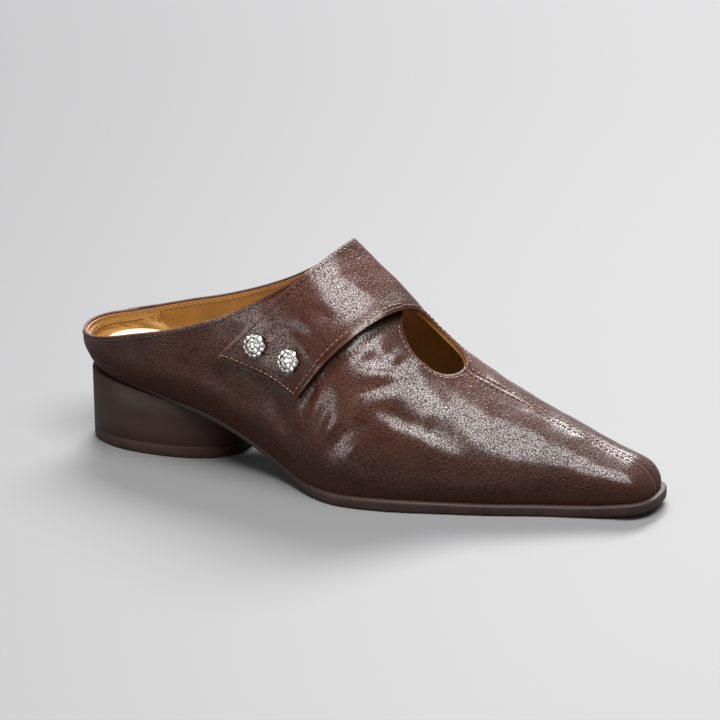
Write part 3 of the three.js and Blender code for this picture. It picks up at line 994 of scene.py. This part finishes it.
place(makeOutsole(), "sole", soleRubber, "outsole")
print("outsole made")


# Heel block and wearing piece
heel = {
    "back": 3.6, "front": 77.3, "outer": 26.0, "inner": 25.5, "widestAt": 37.6,
    "backPower": 2.15, "frontPower": 2.5, "flare": 1.3, "taper": 0.015, "lift": 5.5, "turns": 144,
}


def heelPoint(angle, z, shrink):
    down = 1 - z / shoe["heelHeight"]
    along, across = math.cos(angle), math.sin(angle)
    power = 2 / (heel["frontPower"] if along > 0 else heel["backPower"])
    front = heel["front"] + heel["flare"] * down - heel["widestAt"]
    reach = front if along > 0 else heel["widestAt"] - heel["back"]
    half = (heel["outer"] if across < 0 else heel["inner"]) * (1 - heel["taper"] * down)
    return Vector((
        heel["widestAt"] + (reach - shrink) * math.copysign(abs(along) ** power, along),
        (half - shrink) * math.copysign(abs(across) ** power, across),
        z,
    ))


def makeHeelPart(name, levels):
    # levels are (height, how far in), from below to above; a height of None follows the sole
    def spotAt(i, j):
        z, shrink = levels[j]
        angle = 2 * math.pi * i / heel["turns"]
        if shrink == toMiddle:
            return Vector((heel["widestAt"], 0, soleBottom(heel["widestAt"]) if z is None else z))
        if z is not None:
            return heelPoint(angle, z, shrink)
        spot = heelPoint(angle, shoe["heelHeight"] * 0.9, shrink)
        spot.z = soleBottom(spot.x) - 0.05 - (0.35 if shrink == 0 else 0.0)
        return spot

    return closedPiece(sheetOf(heel["turns"], len(levels) - 1, spotAt), name)


blockLevels = (
    (heel["lift"], toMiddle), (heel["lift"], 0.4), (heel["lift"] + 0.05, 0.08), (heel["lift"] + 0.2, 0.0),
    (12.0, 0.0), (18.0, 0.0), (None, 0), (None, 0.4), (None, 4.0), (None, toMiddle),
)
liftLevels = (
    (0.0, toMiddle), (0.0, 1.2), (0.06, 0.6), (0.35, 0.2), (0.9, 0.05),
    (5.2, 0.0), (5.4, 0.08), (5.45, 0.4), (5.45, toMiddle),
)
place(makeHeelPart("heel_block_side", blockLevels), "heel", heelFinish, "heel_block")
place(makeHeelPart("heel_wearing_piece", liftLevels), "top_lift", heelFinish, "heel_top_lift")
print("heel made")


# Lining: the same wall again on the inside, in tan, and the softer piece that grips the heel
liningSize = {
    "end": 263.0, "spacing": 2.2, "rows": 44, "below": 1.0, "under": 1.25, "wrinkle": 0.12, "slant": 0,
}
gripSize = {
    "end": 27.0, "spacing": 1.0, "rows": 36, "below": 2.9, "under": 2.2, "wrinkle": 0.9, "slant": -12,
}


def wrinkleAt(point, depth):
    slant = Vector((point.x + 0.9 * point.z, point.y * 0.35, point.z * 0.3)) / 4.5
    below = collarHeight(point.x) - point.z
    return depth * noise.noise(slant) * smooth(below, 2, 6)


def makeLiningSheet(name, size):
    path = roundHeel(*(spacedAlong(side, 0.0, size["end"], size["spacing"]) for side in (-1, 1)))
    rows = size["rows"]
    top = []

    def spotAt(i, j):
        x, side = path[i]
        x += size["slant"] * smooth(x, 12, size["end"]) * (j / rows - 0.5)
        spot = onLast(x, mix(side * 2, topGirth(x, side), j / rows))
        if j == rows:
            top.append(spot)
        return spot

    bm = sheetOf(len(path) - 1, rows, spotAt)
    joinSheet(bm, 0.02)
    edge = treeOf(top)

    def pushOf(v):
        x, y, _ = v.co
        lean = sectionAt(x)["lean"]
        innerSide = smooth(y, lean - 2, lean + 3) if x < keyhole["back"] else float(y > keyhole["middle"])
        under = size["under"] + mix(strapDip(x, y), -0.9 * overlapLift(x, y), innerSide)
        drop = size["below"] * (1 - smooth(edge.find(v.co)[2], 0, 4 * size["below"]))
        if x > keyhole["back"] - 2:
            drop *= 0.3
        inward = wrinkleAt(v.co, size["wrinkle"]) + softAt(v.co, outerLines) - under
        return v.normal * inward - Vector((0, 0, drop))

    pushVertices(bm, pushOf)
    return sheetPiece(bm, name, shoe["lining"], 0.25)


liningPiece = place(makeLiningSheet("lining", liningSize), "lining", lining)
gripPiece = place(makeLiningSheet("heel_grip", gripSize), "lining", litGripLining)
print("lining made")


# Insole, with a cushion under the heel
padded = {"height": 7.6, "along": (24, 82), "round": 5.5, "lift": 0.25}


def makeSockSheet():
    outline = soleOutline(3.0)
    # inset from the edge and height over the seat, from under the middle round the edge to the top
    profile = ((toMiddle, 0.0), (4.0, 0.0), (2.4, 0.0), (2.2, 1.2), (2.6, 2.2), (3.4, 2.5), (5.0, 2.52),
               (8.0, 2.55), (13, 2.58), (toMiddle, 2.6))

    def spotAt(i, j):
        point = outline[i % len(outline)][0]
        inset, rise = profile[j]
        spot = middleFor(point.x) if inset == toMiddle else point + inwardFrom(point) * inset
        if rise > 1:
            pad = padded["height"] * (1 - smooth(spot.x, *padded["along"]))
            rise += pad * smooth(inset, 0, padded["round"])
        return Vector((spot.x, spot.y, lastCurve["seat"](spot.x) + padded["lift"] + rise))

    return closedPiece(sheetOf(len(outline), len(profile) - 1, spotAt), "insole_sock")


place(makeSockSheet(), "sock", sockLeather, "insole")
print("insole made")


# Stitches: short rounded lengths of thread laid on the leather
stitch = {
    "pitch": 2.6, "length": 1.95, "thick": 0.6, "sunk": 0.16, "inset": 1.8, "start": 1.5,
    "step": 0.25,             # points on a row's line lie this far apart
}


def surfaceOf(piece, inside=False):
    # where thread can lie: the outer face, or the inner one of a lining
    bm = bmesh.new()
    if inside:
        bm.from_object(piece, bpy.context.evaluated_depsgraph_get())
    else:
        bm.from_mesh(piece.data)
    tree = BVHTree.FromBMesh(bm)
    bm.free()
    return tree


def insetLine(points, side):
    # a line moved over the last by the stitches' inset, to the left of its direction for side 1
    points = resample(points, 0.5)
    moved = []
    reach = 3
    for i, point in enumerate(points):
        before, after = points[max(0, i - reach)], points[min(len(points) - 1, i + reach)]
        along = (after - before).normalized()
        girth = girthAtY(point.x, point.y) if point.z > sectionAt(point.x)["bulge"] else (
            girthAtHeight(point.x, point.z, -1 if point.y < 0 else 1))
        sideways = normalOnLast(point.x, girth).cross(along).normalized()
        moved.append(point + sideways * stitch["inset"] * side)
    return moved


def sewRow(bm, points, surface, trim=0.0):
    # one row of stitches along the line, lying on the surface
    points = resample(points, stitch["step"])
    first = round((stitch["start"] + trim) / stitch["step"])
    for i in range(first, len(points) - first, round(stitch["pitch"] / stitch["step"])):
        here, normal, _, _ = surface.find_nearest(toFrame @ points[i])
        ahead = toFrame @ points[min(len(points) - 1, i + 2)] - toFrame @ points[max(0, i - 2)]
        along = (ahead - normal * ahead.dot(normal)).normalized()
        turn = Matrix((along, normal.cross(along), normal)).transposed().to_4x4()
        shape = Matrix.Diagonal((stitch["length"] / 2, stitch["thick"] / 2, stitch["thick"] / 2, 1))
        spot = Matrix.Translation(here + normal * (stitch["thick"] / 2 - stitch["sunk"]) * mm)
        bmesh.ops.create_uvsphere(
            bm, u_segments=8, v_segments=6, radius=mm,
            matrix=spot @ turn @ shape @ Matrix.Rotation(math.pi / 2, 4, "Y"))


def edgeLine(start, end, side, count=160):
    # the stitching line below the top edge of one side
    return insetLine(topEdge([mix(start, end, i / count) for i in range(count + 1)], side), side)


outerSurface = surfaceOf(outerQuarter)
innerSurface = surfaceOf(innerQuarter)
liningSurface = surfaceOf(liningPiece, True)
gripSurface = surfaceOf(gripPiece, True)


def sewCollar():
    bm = bmesh.new()
    drop = Vector((0, 0, stitch["inset"]))
    outerBack = topEdge(spacedAlong(-1, 0.0, 99.0, 0.8), -1)
    innerBack = topEdge(spacedAlong(1, 0.0, quarter["backSeam"] - 2, 0.8), 1)
    sewRow(bm, [p - drop for p in outerBack[::-1] + innerBack[1:]], outerSurface)
    sewRow(bm, edgeLine(quarter["backSeam"], shoe["peakAt"] - 2, 1), innerSurface)
    sewRow(bm, insetLine(innerEdges["rear"], 1), innerSurface)
    place(makePiece(bm, "collar_stitches"), "thread", darkThread)


def sewUpper():
    bm = bmesh.new()
    sewRow(bm, insetLine(innerEdges["low"], 1), innerSurface, trim=1.0)
    sewRow(bm, insetLine(innerEdges["front"], -1), innerSurface)
    back, front = keyhole["back"], keyhole["front"]
    for start, end, side, surface in (
            (back + 4, front - 0.5, 1, innerSurface), (back + 1.5, front - 0.2, -1, outerSurface),
            (front + 2, 257, 1, innerSurface), (front + 2, 257, -1, outerSurface)):
        sewRow(bm, edgeLine(start, end, side), surface)
    place(makePiece(bm, "upper_stitches"), "thread", brownThread)


def sewLining():
    bm = bmesh.new()
    for surface, size, end in ((liningSurface, liningSize, 112.0), (gripSurface, gripSize, 20.0)):
        drop = Vector((0, 0, size["below"] + 1.6))
        for side in (-1, 1):
            line = [p - drop for p in topEdge(spacedAlong(side, 0.0, end, 0.8), side)]
            sewRow(bm, [p + inwardFrom(p) * (size["under"] + shoe["lining"]) for p in line], surface)
    place(makePiece(bm, "lining_stitches"), "thread", liningThread)


sewCollar()
sewUpper()
sewLining()
print("stitches sewn")


# Studs: a scalloped metal seat under a dome of small cut stones
stud = {
    "front": (116.5, 56.0), "rear": (99.6, 60.3), "radius": 5.1, "lobes": 6, "scallop": 0.09,
    "dome": 1.7, "lean": 0.85, "seat": 1.0, "seatOver": 1.5, "seatUnder": 0.6,
    "rings": ((0.0, 1, 1.3), (2.4, 6, 1.2), (4.3, 12, 1.0)),      # radius, count and size of the stones
    "grain": 0.34, "grainShare": 0.92, "grainLift": 0.05,         # the small balls between them
}


def domeHeight(radius):
    return stud["seat"] + stud["dome"] * math.cos(stud["lean"] * radius / stud["radius"])


def ringTurns(count, shift):
    for i in range(count):
        yield i, Matrix.Rotation(2 * math.pi * (i + shift) / count, 4, "Z")


def makeStones(bm, spot):
    for radius, count, size in stud["rings"]:
        tilt = Matrix.Rotation(stud["lean"] * radius / stud["radius"], 4, "Y")
        for i, turn in ringTurns(count, 0.5 * (radius > 3)):
            turn = turn @ Matrix.Translation((radius, 0, domeHeight(radius))) @ tilt
            turn = turn @ Matrix.Rotation(0.7 * i + 0.35, 4, "Z")
            bmesh.ops.create_cone(
                bm, cap_ends=True, segments=7, radius1=size, radius2=size * 0.5, depth=size * 0.6,
                matrix=spot @ turn @ Matrix.Translation((0, 0, size * 0.15)))


def makeSeat(bm, spot):
    made = bmesh.ops.create_uvsphere(bm, u_segments=64, v_segments=24, radius=1)
    for v in made["verts"]:
        wave = math.cos(stud["lobes"] * math.atan2(v.co.y, v.co.x))
        reach = stud["radius"] * (1 - stud["scallop"] + stud["scallop"] * wave)
        rise = stud["seatOver"] if v.co.z > 0 else stud["seatUnder"]
        v.co = spot @ Vector((v.co.x * reach, v.co.y * reach, stud["seat"] + v.co.z * rise))
    for radius, count, _ in stud["rings"][1:]:
        away = radius * stud["grainShare"]
        out = Matrix.Translation((away, 0, domeHeight(away) + stud["grainLift"]))
        for _, turn in ringTurns(count, 0.5 * (radius < 3)):
            bmesh.ops.create_icosphere(bm, subdivisions=1, radius=stud["grain"], matrix=spot @ turn @ out)


def studPlace(x, height):
    girth = girthAtHeight(x, height, -1)
    here, normal, _, _ = innerSurface.find_nearest(toFrame @ onLast(x, girth))
    upright = normal.to_track_quat("Z", "Y").to_matrix().to_4x4()
    return Matrix.Translation(here) @ upright @ Matrix.Scale(mm, 4)


def makeStud(which):
    name, spot = "stud_" + which, studPlace(*stud[which])
    seat, stones = bmesh.new(), bmesh.new()
    makeSeat(seat, spot)
    makeStones(stones, spot)
    place(makePiece(seat, name + "_seat"), "stud", studMetal, name)
    place(makePiece(stones, name + "_stones", False), "crystal", cutStone)


makeStud("front")
makeStud("rear")
print("studs set")


# Floor, light and camera
def makeFloor():
    bm = bmesh.new()
    bmesh.ops.create_grid(bm, x_segments=1, y_segments=1, size=6)
    floor = makePiece(bm, "floor", False)
    made, _, shader, _ = newMaterial("paleFloor")
    feedAll(shader, Base_Color=(0.108, 0.108, 0.1096), Roughness=0.6, Specular_IOR_Level=0.2)
    floor.data.materials.append(made)


makeFloor()

view = {"turn": 24.194, "tilt": 18.441, "distance": 1.1077, "lens": 130.0}
shoeMiddle = (cadLow + cadHigh) / 2


def makeCamera():
    turn, tilt = math.radians(view["turn"]), math.radians(view["tilt"])
    away = Vector((math.sin(turn) * math.cos(tilt), -math.cos(turn) * math.cos(tilt), math.sin(tilt)))
    data = bpy.data.cameras.new("camera")
    data.lens = view["lens"]
    data.sensor_width = 36
    camera = bpy.data.objects.new("camera", data)
    camera.location = shoeMiddle + away * view["distance"]
    camera.rotation_euler = (-away).to_track_quat("-Z", "Y").to_euler()
    bpy.context.scene.collection.objects.link(camera)
    bpy.context.scene.camera = camera


def areaLight(name, spot, size, power, aim=shoeMiddle):
    data = bpy.data.lights.new(name, "AREA")
    data.shape = "RECTANGLE"
    data.size, data.size_y = size
    data.energy = power
    light = bpy.data.objects.new(name, data)
    light.location = spot
    light.rotation_euler = (aim - Vector(spot)).to_track_quat("-Z", "Y").to_euler()
    bpy.context.scene.collection.objects.link(light)


makeCamera()
areaLight("overhead softbox", (0.36, -0.29, 1.22), (0.95, 0.95), 57)
areaLight("front softbox", (-0.75, -1.2, 0.24), (0.9, 0.45), 8.6)
areaLight("backdrop softbox", (-0.6, 2.6, 2.2), (2.6, 1.0), 385, Vector((-0.4, 2.5, 0)))

world = bpy.data.worlds.new("studio")
world.use_nodes = True
sky = world.node_tree.nodes["Background"]
feedAll(sky, Color=(0.80, 0.81, 0.83), Strength=0.50)
bpy.context.scene.world = world
bpy.context.scene.view_settings.view_transform = "Standard"

print("scene ready")
